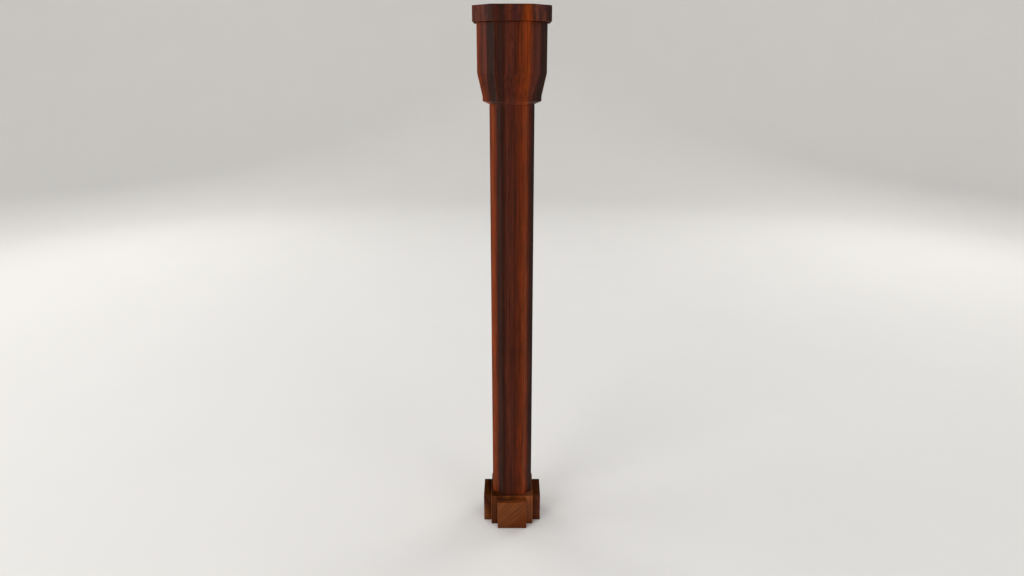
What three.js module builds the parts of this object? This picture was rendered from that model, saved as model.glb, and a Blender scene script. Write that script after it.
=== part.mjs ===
// A free-standing wooden pillar: a stepped plinth, an eight-sided shaft, a flared capital and an abacus.
// Millimetres, +Z up, origin at the centre of the underside. The pillar is alike on its four sides.

import * as THREE from 'three';

// Plinth: a square block with a lower cheek on each side. All five stand on the floor.
const BLOCK_WIDTH = 217;
const BLOCK_HEIGHT = 168;
const CHEEK_WIDTH = 150;
const CHEEK_HEIGHT = 153;
const PLINTH_REACH = 296; // across two opposite cheeks

// Shaft: a square post with its corners cut off at 45 degrees.
const SHAFT_WIDTH = 200;
const SHAFT_CHAMFER = 47.5;

// Capital, from its foot upwards. Every height is above the floor.
const CAPITAL_UNDERSIDE = 2144;
const FOOT_BAND_BOTTOM = 2158;
const FOOT_BAND_TOP = 2178;
const FLARE_TOP = 2276;
const CAPITAL_TOP = 2483;
const FOOT_BAND_WIDTH = 259;
const FOOT_BAND_FLAT = 128; // width of the front flat between two diagonal faces
const CAPITAL_WIDTH = 303;
const CAPITAL_FLAT = 150;

// Abacus: the slab on top.
const ABACUS_WIDTH = 338;
const ABACUS_FLAT = 172;
const ABACUS_HEIGHT = 65;

// Arrises that are taken off by hand.
const EASE = 2.5;
const CAPITAL_EASE = 2;

const TIMBER = {
  shaft: { color: 0x6b2f1b, roughness: 0.42, metalness: 0 },
  block: { color: 0x5c2c18, roughness: 0.5, metalness: 0 },
  cheek: { color: 0x8a4a26, roughness: 0.5, metalness: 0 },
  capital: { color: 0x74331d, roughness: 0.42, metalness: 0 },
  abacus: { color: 0x5e2c1c, roughness: 0.45, metalness: 0 },
};

// Plan of a square with cut corners, anticlockwise from the front right: `flat` is what is left of a side.
function cutSquare(width, flat) {
  const out = width / 2;
  const near = flat / 2;
  return [
    [near, -out], [out, -near], [out, near], [near, out],
    [-near, out], [-out, near], [-out, -near], [-near, -out],
  ].map(([x, y]) => new THREE.Vector2(x, y));
}

// Plan of a rectangle about a centre, anticlockwise from its front left corner.
function rectangle(width, depth, centreX = 0, centreY = 0) {
  const x = width / 2;
  const y = depth / 2;
  return [[-x, -y], [x, -y], [x, y], [-x, y]].map(([px, py]) => new THREE.Vector2(centreX + px, centreY + py));
}

// Takes each corner of a plan off by `cut`, measured along both of the sides that meet there.
function easeCorners(plan, cut) {
  return plan.flatMap((corner, i) => {
    const before = plan[(i + plan.length - 1) % plan.length];
    const after = plan[(i + 1) % plan.length];
    return [before, after].map((next) => {
      const step = next.clone().sub(corner).setLength(cut);
      return corner.clone().add(step);
    });
  });
}

// Moves each point of a plan inwards by the same distance along x and along y from the plan's centre.
function shrink(plan, inset) {
  const box = new THREE.Box2().setFromPoints(plan);
  const centre = box.getCenter(new THREE.Vector2());
  const half = box.getSize(new THREE.Vector2()).multiplyScalar(0.5);
  const scale = new THREE.Vector2(1 - inset / half.x, 1 - inset / half.y);
  return plan.map((point) => point.clone().sub(centre).multiply(scale).add(centre));
}

// Closed solid through a stack of levels {z, plan} whose plans have the same number of points. It is
// extruded in one step per level, and then each level's points are set to that level's own plan.
function solidThrough(levels) {
  const first = levels[0].plan;
  const steps = levels.length - 1;
  const geometry = new THREE.ExtrudeGeometry(new THREE.Shape(first), {
    steps,
    depth: steps,
    bevelEnabled: false,
  });
  const position = geometry.attributes.position;
  const at = new THREE.Vector2();
  for (let i = 0; i < position.count; i += 1) {
    at.set(position.getX(i), position.getY(i));
    const distances = first.map((point) => point.distanceToSquared(at));
    const corner = distances.indexOf(Math.min(...distances));
    const level = levels[Math.round(position.getZ(i))];
    position.setXYZ(i, level.plan[corner].x, level.plan[corner].y, level.z);
  }
  geometry.computeVertexNormals();
  return geometry;
}

// Upright slab of one plan from `bottom` to `top`, with the rims named in `eased` taken off.
function slab(plan, bottom, top, eased = { bottom: true, top: true }) {
  const levels = [];
  if (eased.bottom) levels.push({ z: bottom, plan: shrink(plan, EASE) });
  levels.push({ z: eased.bottom ? bottom + EASE : bottom, plan });
  levels.push({ z: eased.top ? top - EASE : top, plan });
  if (eased.top) levels.push({ z: top, plan: shrink(plan, EASE) });
  return solidThrough(levels);
}

function piece(name, geometry, timber) {
  const mesh = new THREE.Mesh(geometry, new THREE.MeshStandardMaterial(timber));
  mesh.name = name;
  return mesh;
}

function plinthBlock() {
  const plan = easeCorners(rectangle(BLOCK_WIDTH, BLOCK_WIDTH), EASE);
  return piece('plinth_block', slab(plan, 0, BLOCK_HEIGHT), TIMBER.block);
}

// One cheek for each side of the block, given by the direction that it faces.
function plinthCheek(name, faceX, faceY) {
  const thickness = (PLINTH_REACH - BLOCK_WIDTH) / 2;
  const centre = (PLINTH_REACH - thickness) / 2;
  const width = faceX === 0 ? CHEEK_WIDTH : thickness;
  const depth = faceX === 0 ? thickness : CHEEK_WIDTH;
  const plan = easeCorners(rectangle(width, depth, faceX * centre, faceY * centre), EASE);
  return piece(name, slab(plan, 0, CHEEK_HEIGHT), TIMBER.cheek);
}

function shaft() {
  const plan = easeCorners(cutSquare(SHAFT_WIDTH, SHAFT_WIDTH - 2 * SHAFT_CHAMFER), EASE);
  const whole = { bottom: false, top: false };
  return piece('shaft', slab(plan, BLOCK_HEIGHT, CAPITAL_UNDERSIDE, whole), TIMBER.shaft);
}

function capital() {
  const profile = [
    [CAPITAL_UNDERSIDE, SHAFT_WIDTH, SHAFT_WIDTH - 2 * SHAFT_CHAMFER],
    [FOOT_BAND_BOTTOM, FOOT_BAND_WIDTH, FOOT_BAND_FLAT],
    [FOOT_BAND_TOP, FOOT_BAND_WIDTH, FOOT_BAND_FLAT],
    [FLARE_TOP, CAPITAL_WIDTH, CAPITAL_FLAT],
    [CAPITAL_TOP, CAPITAL_WIDTH, CAPITAL_FLAT],
  ];
  const levels = profile.map(([z, width, flat]) => (
    { z, plan: easeCorners(cutSquare(width, flat), CAPITAL_EASE) }
  ));
  return piece('capital', solidThrough(levels), TIMBER.capital);
}

function abacus() {
  const plan = easeCorners(cutSquare(ABACUS_WIDTH, ABACUS_FLAT), EASE);
  return piece('abacus', slab(plan, CAPITAL_TOP, CAPITAL_TOP + ABACUS_HEIGHT), TIMBER.abacus);
}

const pillar = new THREE.Group();
pillar.add(
  plinthBlock(),
  plinthCheek('plinth_cheek_front', 0, -1),
  plinthCheek('plinth_cheek_right', 1, 0),
  plinthCheek('plinth_cheek_back', 0, 1),
  plinthCheek('plinth_cheek_left', -1, 0),
  shaft(),
  capital(),
  abacus(),
);

export default pillar;
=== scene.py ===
"""Looks of a tall wooden pillar: a plinth, a chamfered shaft, a flared capital and an abacus."""

from __future__ import annotations

import logging
import math
from collections.abc import Callable, Sequence
from dataclasses import dataclass, field, replace
from enum import Enum

import bpy
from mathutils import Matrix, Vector, noise


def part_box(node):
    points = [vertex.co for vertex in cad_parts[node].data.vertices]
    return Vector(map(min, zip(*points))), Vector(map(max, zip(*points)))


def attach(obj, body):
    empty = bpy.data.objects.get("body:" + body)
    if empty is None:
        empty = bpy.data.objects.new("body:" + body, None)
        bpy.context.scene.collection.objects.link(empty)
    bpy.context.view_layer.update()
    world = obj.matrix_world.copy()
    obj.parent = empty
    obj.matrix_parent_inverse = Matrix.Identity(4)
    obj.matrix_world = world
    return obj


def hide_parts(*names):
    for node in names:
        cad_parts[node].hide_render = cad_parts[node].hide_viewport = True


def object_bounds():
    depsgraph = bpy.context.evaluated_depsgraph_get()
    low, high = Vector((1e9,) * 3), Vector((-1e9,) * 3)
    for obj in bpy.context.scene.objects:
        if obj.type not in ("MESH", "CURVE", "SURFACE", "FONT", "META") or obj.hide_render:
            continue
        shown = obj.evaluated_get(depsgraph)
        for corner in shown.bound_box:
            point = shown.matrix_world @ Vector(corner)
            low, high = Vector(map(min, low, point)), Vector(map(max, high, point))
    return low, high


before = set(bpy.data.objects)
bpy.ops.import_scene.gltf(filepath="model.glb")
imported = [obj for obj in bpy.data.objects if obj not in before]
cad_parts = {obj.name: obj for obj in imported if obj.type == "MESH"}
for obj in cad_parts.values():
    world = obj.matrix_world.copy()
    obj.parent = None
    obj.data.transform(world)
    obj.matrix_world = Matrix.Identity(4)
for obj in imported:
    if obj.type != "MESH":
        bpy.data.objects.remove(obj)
CAD_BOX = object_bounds()

LOG = logging.getLogger("pillar")
BODY = "root"
MM = 0.001
UP = Vector((0.0, 0.0, 1.0))
STUDIO = 0.98  # share of its own colour that a surface shows in the studio
SHEEN = 0.005  # light that the oiled surface's shine adds to that
DARKEST = 0.0005  # least value of a channel, before the studio's share is taken out
SMOOTH = {"interpolation_type": "SMOOTHSTEP"}
LEVEL_FACE = 0.96  # how far up or down a face looks, from 0 to 1, that counts as level
BEVEL_FACE = 0.75  # the same for a bevel that looks down

Colour = tuple[float, float, float, float]
Corners = list[Vector]
Stops = Sequence[tuple[float, Colour]]
Socket = bpy.types.NodeSocket
Material = bpy.types.Material
Piece = bpy.types.Object


class Tone(Enum):
    """Colours of the oiled timber, as display values from 0 to 255."""

    SLATE = (55, 35, 30)
    INK = (51, 30, 24)
    SOOT = (46, 30, 25)
    UMBER = (57, 29, 22)
    OXBLOOD = (67, 33, 25)
    MAHOGANY = (79, 39, 29)
    CHESTNUT = (73, 36, 26)
    WALNUT = (69, 33, 23)
    RUSSET = (86, 38, 22)
    COPPER = (98, 43, 22)
    AMBER = (108, 48, 24)
    FLAME = (117, 54, 29)
    EMBER = (114, 49, 20)
    ROSE = (90, 46, 35)
    HONEY = (104, 60, 36)
    STRAW = (111, 63, 37)
    TAN = (97, 53, 29)
    TERRACOTTA = (88, 44, 23)
    BARK = (60, 30, 17)
    PLUM = (68, 35, 31)
    COCOA = (84, 41, 15)
    HAZEL = (76, 41, 24)
    TAR = (54, 25, 6)
    PITCH = (30, 13, 6)

    def linear(self, gain: float = 1.0, sheen: float = SHEEN) -> Colour:
        """The tone as a surface colour: what shows of it in the studio, less the sheen on top.

        Args:
            gain: factor on the three channels.
            sheen: light that the finish's shine adds.

        Returns:
            Red, green, blue and alpha, all linear.
        """
        channels = []
        for value in self.value:
            share = value / 255
            shown = share / 12.92 if share <= 0.04045 else ((share + 0.055) / 1.055) ** 2.4
            channels.append(max(DARKEST, shown - sheen) / STUDIO * gain)
        return (*channels, 1.0)


# Streaks across a side: how far across each lies, in millimetres, and its tone.
Streaks = tuple[tuple[float, Tone], ...]


@dataclass(frozen=True)
class Noise:
    """A noise texture: cells to the metre, and what its shape is multiplied by along the grain."""

    cells: float
    squash: float = 1.0
    detail: float = 2.0
    rough: float = 0.5
    twist: float = 0.0


# What the timber's fibres are made of.
FIBRES = Noise(520.0, squash=0.02, detail=3.0, rough=0.65)
STRANDS = Noise(120.0, squash=0.022, rough=0.6)
PATCHES = Noise(10.0, squash=0.25, detail=3.0)
WAVES = Noise(62.0, squash=0.05)
PORES = Noise(1100.0, squash=0.05, detail=1.0)

# How streaks and growth layers stray from straight, and how they vary.
DRIFT = Noise(6.0, squash=0.35)
RAGGED = Noise(160.0, squash=0.03)
SWIRLS = Noise(29.0, squash=0.8, twist=0.6)
SWAY = Noise(11.0, squash=0.3)
BROAD = Noise(46.0, detail=1.0)
NARROW = Noise(125.0)

# Cut ends.
LOBES = Noise(7.0, detail=3.0)
RINGS = Noise(40.0, detail=3.0)
RAYS = Noise(46.0)
SPLITS = Noise(26.0)
END_PORES = Noise(950.0, detail=1.0)

# Patches of rubbing and painted light on edges, patches of painted shade and other darkening, polish, and
# the floor.
RUB_AND_LIGHT_PATCHES = Noise(38.0, detail=3.0)
DARK_PATCHES = Noise(22.0, detail=3.0)
POLISH = Noise(17.0, detail=3.0)
MOTTLE = Noise(1.3)


def operator(operation: str, swapped: bool = False) -> Callable[[Number, Number | float], Number]:
    """An operator of Number, which adds one Math node.

    Args:
        operation: what the node works out.
        swapped: whether the other number comes first.

    Returns:
        The method.
    """

    def method(self: Number, other: Number | float) -> Number:
        """Works on this number and another."""
        return self.shader.math(operation, *((other, self) if swapped else (self, other)))

    return method


class Number:
    """A number in a shader, from a socket, whose arithmetic adds Math nodes."""

    __add__ = operator("ADD")
    __radd__ = operator("ADD", swapped=True)
    __sub__ = operator("SUBTRACT")
    __rsub__ = operator("SUBTRACT", swapped=True)
    __mul__ = operator("MULTIPLY")
    __rmul__ = operator("MULTIPLY", swapped=True)
    __truediv__ = operator("DIVIDE")
    __rtruediv__ = operator("DIVIDE", swapped=True)

    def __init__(self, shader: Shader, socket: Socket) -> None:
        """Keeps the shader and the socket that gives the number."""
        self.shader = shader
        self.socket = socket

    def band(self, low: float, high: float) -> Number:
        """Smooth step from 0 at `low` to 1 at `high`, which may be the lower of the two."""
        inputs = {"Value": self, "From Min": low, "From Max": high}
        return self.shader.node_number("ShaderNodeMapRange", SMOOTH, inputs, "Result")


class Shader:
    """A material and its node tree."""

    def __init__(self, name: str) -> None:
        """Makes an empty material.

        Args:
            name: the material's name.
        """
        self.material = bpy.data.materials.new(name)
        self.material.use_nodes = True
        self.tree = self.material.node_tree
        self.tree.nodes.clear()

    def node(self, kind: str, settings: dict | None = None, inputs: dict | None = None) -> bpy.types.Node:
        """Adds a node.

        Args:
            kind: the node's type name.
            settings: its properties, set first; `stops` is a colour ramp's list of (place, colour).
            inputs: socket name or number to a value, a Number or an output socket.

        Returns:
            The node.
        """
        made = self.tree.nodes.new(kind)
        for name, value in (settings or {}).items():
            if name == "stops":
                self._set_stops(made.color_ramp, value)
            else:
                setattr(made, name, value)
        for name, value in (inputs or {}).items():
            given = value.socket if isinstance(value, Number) else value
            if isinstance(given, Socket):
                self.tree.links.new(given, made.inputs[name])
            else:
                made.inputs[name].default_value = given
        return made

    @staticmethod
    def _set_stops(ramp: bpy.types.ColorRamp, stops: Stops) -> None:
        """Gives a colour ramp its stops.

        Args:
            ramp: the ramp, with two stops of its own.
            stops: places and colours, in order of place.
        """
        while len(ramp.elements) < len(stops):
            ramp.elements.new(1.0)
        for element, (place, colour) in zip(ramp.elements, stops):
            element.position = place
            element.color = colour

    def node_number(self, kind: str, settings: dict | None, inputs: dict, output: str) -> Number:
        """Adds a node and gives one of its outputs as a Number."""
        return Number(self, self.node(kind, settings, inputs).outputs[output])

    def math(self, operation: str, *values: Number | float) -> Number:
        """One Math node on one or two values."""
        inputs = dict(enumerate(values))
        return self.node_number("ShaderNodeMath", {"operation": operation}, inputs, "Value")

    def attribute(self, name: str) -> Number:
        """A number that is stored on the mesh."""
        settings = {"attribute_type": "GEOMETRY", "attribute_name": name}
        return self.node_number("ShaderNodeAttribute", settings, {}, "Fac")

    def place(self) -> Socket:
        """The point on the object, in metres."""
        return self.node("ShaderNodeTexCoord").outputs["Object"]

    def vector(self, operation: str, output: str = "Vector", **inputs: object) -> Socket:
        """One Vector Math node. Inputs are named a and b for the vectors and scale for the number."""
        named = {{"a": 0, "b": 1, "scale": "Scale"}[name]: value for name, value in inputs.items()}
        return self.node("ShaderNodeVectorMath", {"operation": operation}, named).outputs[output]

    def place_from(self, centre: Sequence[float]) -> Socket:
        """The point on the object, measured from a centre."""
        return self.vector("SUBTRACT", a=self.place(), b=Vector(centre))

    def reach(self, where: Socket, direction: Sequence[float]) -> Number:
        """How far a vector reaches along a direction."""
        return Number(self, self.vector("DOT_PRODUCT", "Value", a=where, b=Vector(direction)))

    def length(self, where: Socket) -> Number:
        """Length of a vector."""
        return Number(self, self.vector("LENGTH", "Value", a=where))

    def coordinate(self, where: Socket, axis: str) -> Number:
        """One coordinate of a vector: X, Y or Z."""
        return self.node_number("ShaderNodeSeparateXYZ", None, {0: where}, axis)

    def along(self, direction: Vector, squash: float) -> Socket:
        """The point with its part along a direction shrunk, so that a texture is drawn out that way.

        Args:
            direction: unit vector along the grain.
            squash: what the part along the grain is multiplied by.

        Returns:
            The changed point.
        """
        here = self.place()
        part = self.reach(here, direction)
        shift = self.vector("SCALE", a=direction, scale=part * (squash - 1.0))
        return self.vector("ADD", a=here, b=shift)

    def noise(self, kind: Noise, grain: Vector = UP, where: Socket | None = None) -> Number:
        """Noise from 0 to 1.

        Args:
            kind: the noise.
            grain: unit vector along which its squash acts.
            where: the point to read it at, if it isn't the one on the object.

        Returns:
            The noise.
        """
        if where is None:
            where = self.place() if kind.squash == 1.0 else self.along(grain, kind.squash)
        inputs = {
            "Vector": where, "Scale": kind.cells, "Detail": kind.detail, "Roughness": kind.rough,
            "Distortion": kind.twist,
        }
        return self.node_number("ShaderNodeTexNoise", {"noise_dimensions": "3D"}, inputs, "Fac")

    def swing(self, kind: Noise, grain: Vector = UP) -> Number:
        """The same noise, from -0.5 to 0.5."""
        return self.noise(kind, grain) - 0.5

    def line_noise(self, kind: Noise, where: Number) -> Number:
        """Noise from 0 to 1 along a line."""
        inputs = {"W": where, "Scale": kind.cells, "Detail": kind.detail}
        return self.node_number("ShaderNodeTexNoise", {"noise_dimensions": "1D"}, inputs, "Fac")

    def ramp(self, where: Number, stops: Stops) -> Socket:
        """A colour ramp read at a number."""
        return self.node("ShaderNodeValToRGB", {"stops": stops}, {"Fac": where}).outputs["Color"]

    def mix(self, share: Number, first: Socket, second: Colour) -> Socket:
        """A colour between two, by a share from 0 to 1."""
        settings = {"data_type": "RGBA", "clamp_factor": True}
        return self.node("ShaderNodeMix", settings, {0: share, 6: first, 7: second}).outputs[2]

    def bright(self, colour: object, factor: Number) -> Socket:
        """A colour made lighter or darker by a factor."""
        return self.vector("SCALE", a=colour, scale=factor)

    def finish(self, colour: Socket, rough: Number, height: Number, surface: Surface) -> Material:
        """Joins colour, roughness and relief to the surface.

        Args:
            colour: the surface's colour.
            rough: its roughness.
            height: relief from 0 to 1.
            surface: how deep the relief is, and how strongly the surface shines.

        Returns:
            The material.
        """
        inputs = {"Height": height, "Distance": surface.relief, "Strength": 1.0}
        bump = self.node("ShaderNodeBump", None, inputs)
        inputs = {
            "Base Color": colour, "Roughness": rough, "Normal": bump.outputs["Normal"],
            "Specular IOR Level": surface.specular,
        }
        shown = self.node("ShaderNodeBsdfPrincipled", None, inputs)
        self.node("ShaderNodeOutputMaterial", None, {"Surface": shown.outputs["BSDF"]})
        return self.material


@dataclass(frozen=True)
class Surface:
    """A clean surface's roughness, the depth of its relief in metres, and how strongly it shines."""

    rough: float = 0.46
    relief: float = 0.3 * MM
    specular: float = 0.07


@dataclass(frozen=True)
class Fibre:
    """What the timber's fibres add to a colour: a factor for light and dark, pores, and the relief."""

    light: Number
    pores: Number
    height: Number


@dataclass(frozen=True)
class Figure:
    """How strongly a timber shows its fibres, strands, dark veins and cloudy patches.

    `raised` is how far fibres and strands lift the relief, `sunk` how far pores and veins cut into it.
    """

    fibres: float = 1.5
    strands: float = 1.9
    patches: float = 0.6
    veins: float = 0.4
    vein_width: float = 0.022
    vein_strands: float = 3.0
    pore_edge: tuple[float, float] = (0.64, 0.74)
    raised: tuple[float, float] = (0.8, 0.5)
    sunk: tuple[float, float] = (0.5, 0.25)

    def fibre(self, shader: Shader, grain: Vector) -> Fibre:
        """Lays out the fibres along the grain.

        Args:
            shader: the material that is being made.
            grain: unit vector along the grain.

        Returns:
            What they add.
        """
        fine = shader.swing(FIBRES, grain)
        strands = shader.swing(STRANDS, grain)
        patches = shader.swing(PATCHES, grain)
        veins = shader.math("ABSOLUTE", shader.swing(WAVES, grain)).band(self.vein_width, 0.0)
        veins = veins * (0.5 + strands * self.vein_strands)
        pores = shader.noise(PORES, grain).band(*self.pore_edge)
        light = 1.0 + fine * self.fibres + strands * self.strands + patches * self.patches
        height = 0.5 + fine * self.raised[0] + strands * self.raised[1]
        height = height - pores * self.sunk[0] - veins * self.sunk[1]
        return Fibre(light - veins * self.veins, pores, height)


@dataclass(frozen=True)
class SurfaceMarks:
    """Marks that every timber finish shares: edges lightened by rubbing and, at shaded joints, by painted
    light;
    painted shade in joints and creases, and darkening towards the plinth's foot; and open pores.

    Two pairs of numbers say where the noise of the lightening and of the darkening starts to let them
    through and where it is full. The fields from `uneven` on say how far each mark moves the roughness.
    """

    rub_and_light_strength: float = 0.3
    grime: float = 0.6
    pores: float = 0.5
    rub_and_light_brightens: float = 3.0
    rub_and_light_warms: float = 0.5
    least_shade_and_darkening: float = 0.55
    rub_and_light_edge: tuple[float, float] = (0.36, 0.66)
    dark_patch_edge: tuple[float, float] = (0.1, 0.8)
    uneven: float = 0.14
    relief: float = 0.2
    dull_pores: float = 0.12
    burnish: float = 0.08
    dull_shade_and_darkening: float = 0.2

    def dress(self, shader: Shader, colour: Socket, pores: Number) -> Socket:
        """Adds pores, edges lightened by rubbing and by painted light, and painted shade and other
        darkening, to a colour.

        Args:
            shader: the material that is being made.
            colour: the clean timber.
            pores: 1 in a pore, 0 elsewhere.

        Returns:
            The colour with these marks.
        """
        # Edges lighten and warm: rubbing, and at shaded joints painted light.
        rub_and_light_share = shader.attribute("arris") * shader.noise(RUB_AND_LIGHT_PATCHES).band(*self.rub_and_light_edge)
        colour = shader.mix(pores * self.pores, colour, Tone.PITCH.linear())
        lightened = shader.bright(colour, 1.0 + rub_and_light_share * (self.rub_and_light_strength * self.rub_and_light_brightens))
        colour = shader.mix(rub_and_light_share * (self.rub_and_light_strength * self.rub_and_light_warms), lightened, Tone.FLAME.linear())
        # Darkening: painted shade in joints and creases, and on the plinth darker towards the foot.
        dark_patches = shader.noise(DARK_PATCHES).band(*self.dark_patch_edge)
        patchy = self.least_shade_and_darkening + (1.0 - self.least_shade_and_darkening) * dark_patches
        return shader.mix(shader.attribute("grime") * patchy * self.grime, colour, Tone.PITCH.linear())

    def rough(self, shader: Shader, base: float, fibre: Fibre) -> Number:
        """Roughness: burnished edges, dull pores, and duller where the colour is darkened.

        Args:
            shader: the material that is being made.
            base: roughness of the clean timber.
            fibre: what the fibres add.

        Returns:
            The roughness.
        """
        rough = base + shader.swing(POLISH) * self.uneven + (fibre.height - 0.5) * self.relief
        rough = rough + fibre.pores * self.dull_pores - shader.attribute("arris") * self.burnish
        return rough + shader.attribute("grime") * self.dull_shade_and_darkening


@dataclass(frozen=True)
class Knot:
    """A small knot that the streaks part around. Its centre is in metres, its size in millimetres.

    The pairs of numbers are distances in knot sizes: where each effect starts and where it is full.
    """

    centre: tuple[float, float, float]
    across: tuple[float, float, float]
    width: float = 5.0
    height: float = 26.0
    dark: float = 0.5
    push: float = 0.75
    ring: float = 0.6
    parting: tuple[float, float] = (3.2, 0.6)
    eye: tuple[float, float] = (1.1, 0.5)
    ring_outside: tuple[float, float] = (1.9, 1.3)
    ring_inside: tuple[float, float] = (0.9, 1.5)

    def mark(self, shader: Shader, moved: Number, light: Number, girth: float) -> tuple[Number, Number]:
        """Parts the streaks around the knot, and darkens its eye inside a lighter ring.

        Args:
            shader: the material that is being made.
            moved: where across the streaks a point lies.
            light: its factor for light and dark.
            girth: width of all the streaks together, in millimetres.

        Returns:
            The changed place and factor.
        """
        here = shader.place_from(self.centre)
        aside = shader.reach(here, self.across)
        sizes = Vector((self.width * MM, self.width * MM, self.height * MM))
        away = shader.length(shader.vector("DIVIDE", a=here, b=sizes))
        moved = moved - aside * away.band(*self.parting) * (self.push / (girth * MM))
        ring = away.band(*self.ring_outside) * away.band(*self.ring_inside)
        light = light - away.band(*self.eye) * self.dark + ring * (self.ring * self.dark)
        return moved, light


@dataclass(frozen=True)
class StreakedTimber:
    """Timber with upright grain whose streaks lie across each side in a set order.

    The mesh stores how far across a quarter turn each point lies, from 0 to 1: first the flat, then the
    diagonal face to its right. Widths and distances are in millimetres. `curl_from` and `curl_fade` say
    in metres how high up the curls start and over what height they grow.
    """

    name: str
    flat: Streaks
    diagonal: Streaks
    flat_width: float
    diagonal_width: float
    # Above 1, painted light: every colour is made lighter to make up for shade on the piece.
    painted_light: float = 1.0
    sheen: float = SHEEN
    blotches: float = 0.35
    blotch: Noise = Noise(48.0, squash=0.22)
    tints: Stops = ((0.36, (0.93, 1.0, 1.08, 1.0)), (0.64, (1.08, 0.98, 0.88, 1.0)))
    wander: float = 5.0
    ragged: float = 16.0
    curl: float = 0.0
    curl_from: float = 0.0
    curl_fade: float = 0.04
    knots: tuple[Knot, ...] = ()
    figure: Figure = Figure()
    surface: Surface = Surface()
    surface_marks: SurfaceMarks = SurfaceMarks()

    @property
    def girth(self) -> float:
        """Width of a flat and a diagonal face together."""
        return self.flat_width + self.diagonal_width

    def stops(self) -> list[tuple[float, Colour]]:
        """The streaks as stops of one colour ramp across the quarter turn."""
        spots = [*self.flat, *((self.flat_width + at, tone) for at, tone in self.diagonal)]
        return [(at / self.girth, tone.linear(self.painted_light, self.sheen)) for at, tone in spots]

    def material(self) -> Material:
        """Makes the material.

        Returns:
            The material.
        """
        shader = Shader(self.name)
        fibre = self.figure.fibre(shader, UP)
        stray = shader.swing(DRIFT) * self.wander + shader.swing(RAGGED) * self.ragged
        moved = shader.attribute("across") + stray * (1.0 / self.girth)
        if self.curl:
            height = shader.coordinate(shader.place(), "Z")
            above = height.band(self.curl_from, self.curl_from + self.curl_fade)
            moved = moved + shader.swing(SWIRLS) * above * (self.curl / self.girth)
        light = fibre.light
        for knot in self.knots:
            moved, light = knot.mark(shader, moved, light, self.girth)
        blotch = shader.noise(self.blotch)
        light = light + (blotch - 0.5) * self.blotches
        tint = shader.ramp(blotch, self.tints)
        colour = shader.vector("MULTIPLY", a=shader.ramp(moved, self.stops()), b=tint)
        colour = self.surface_marks.dress(shader, shader.bright(colour, light), fibre.pores)
        rough = self.surface_marks.rough(shader, self.surface.rough, fibre)
        return shader.finish(colour, rough, fibre.height, self.surface)


@dataclass(frozen=True)
class LayeredTimber:
    """Timber whose growth layers lie at a slant, so each face shows the stripes that a cut there gives.

    Every size is in metres. The tones run from one end of the reach to the other, through the centre.
    """

    name: str
    layers: Vector
    grain: Vector
    centre: Vector
    reach: float
    tones: tuple[Tone, ...]
    stripe: float = 0.6
    # Above 1, painted light: every colour is made lighter to make up for shade on the piece.
    painted_light: float = 1.0
    sheen: float = SHEEN
    sway: float = 14 * MM
    broad_start: float = 5.31
    narrow_start: float = 1.93
    figure: Figure = Figure(strands=0.8, veins=0.15)
    surface: Surface = Surface(rough=0.5)
    surface_marks: SurfaceMarks = SurfaceMarks(rub_and_light_strength=0.25)

    def material(self) -> Material:
        """Makes the material.

        Returns:
            The material.
        """
        shader = Shader(self.name)
        grain = self.grain.normalized()
        fibre = self.figure.fibre(shader, grain)
        depth = shader.reach(shader.place_from(self.centre), self.layers.normalized())
        depth = depth + shader.swing(SWAY, grain) * self.sway
        broad = shader.line_noise(BROAD, depth + self.broad_start) - 0.5
        narrow = shader.line_noise(NARROW, depth + self.narrow_start) - 0.5
        place = 0.5 + depth / (2.0 * self.reach) + broad * 0.5
        last = len(self.tones) - 1
        stops = [(i / last, tone.linear(self.painted_light, self.sheen)) for i, tone in enumerate(self.tones)]
        light = fibre.light + broad * (self.stripe * 0.5) + narrow * self.stripe
        colour = shader.bright(shader.ramp(place, stops), light)
        colour = self.surface_marks.dress(shader, colour, fibre.pores)
        rough = self.surface_marks.rough(shader, self.surface.rough, fibre)
        return shader.finish(colour, rough, fibre.height, self.surface)


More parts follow.
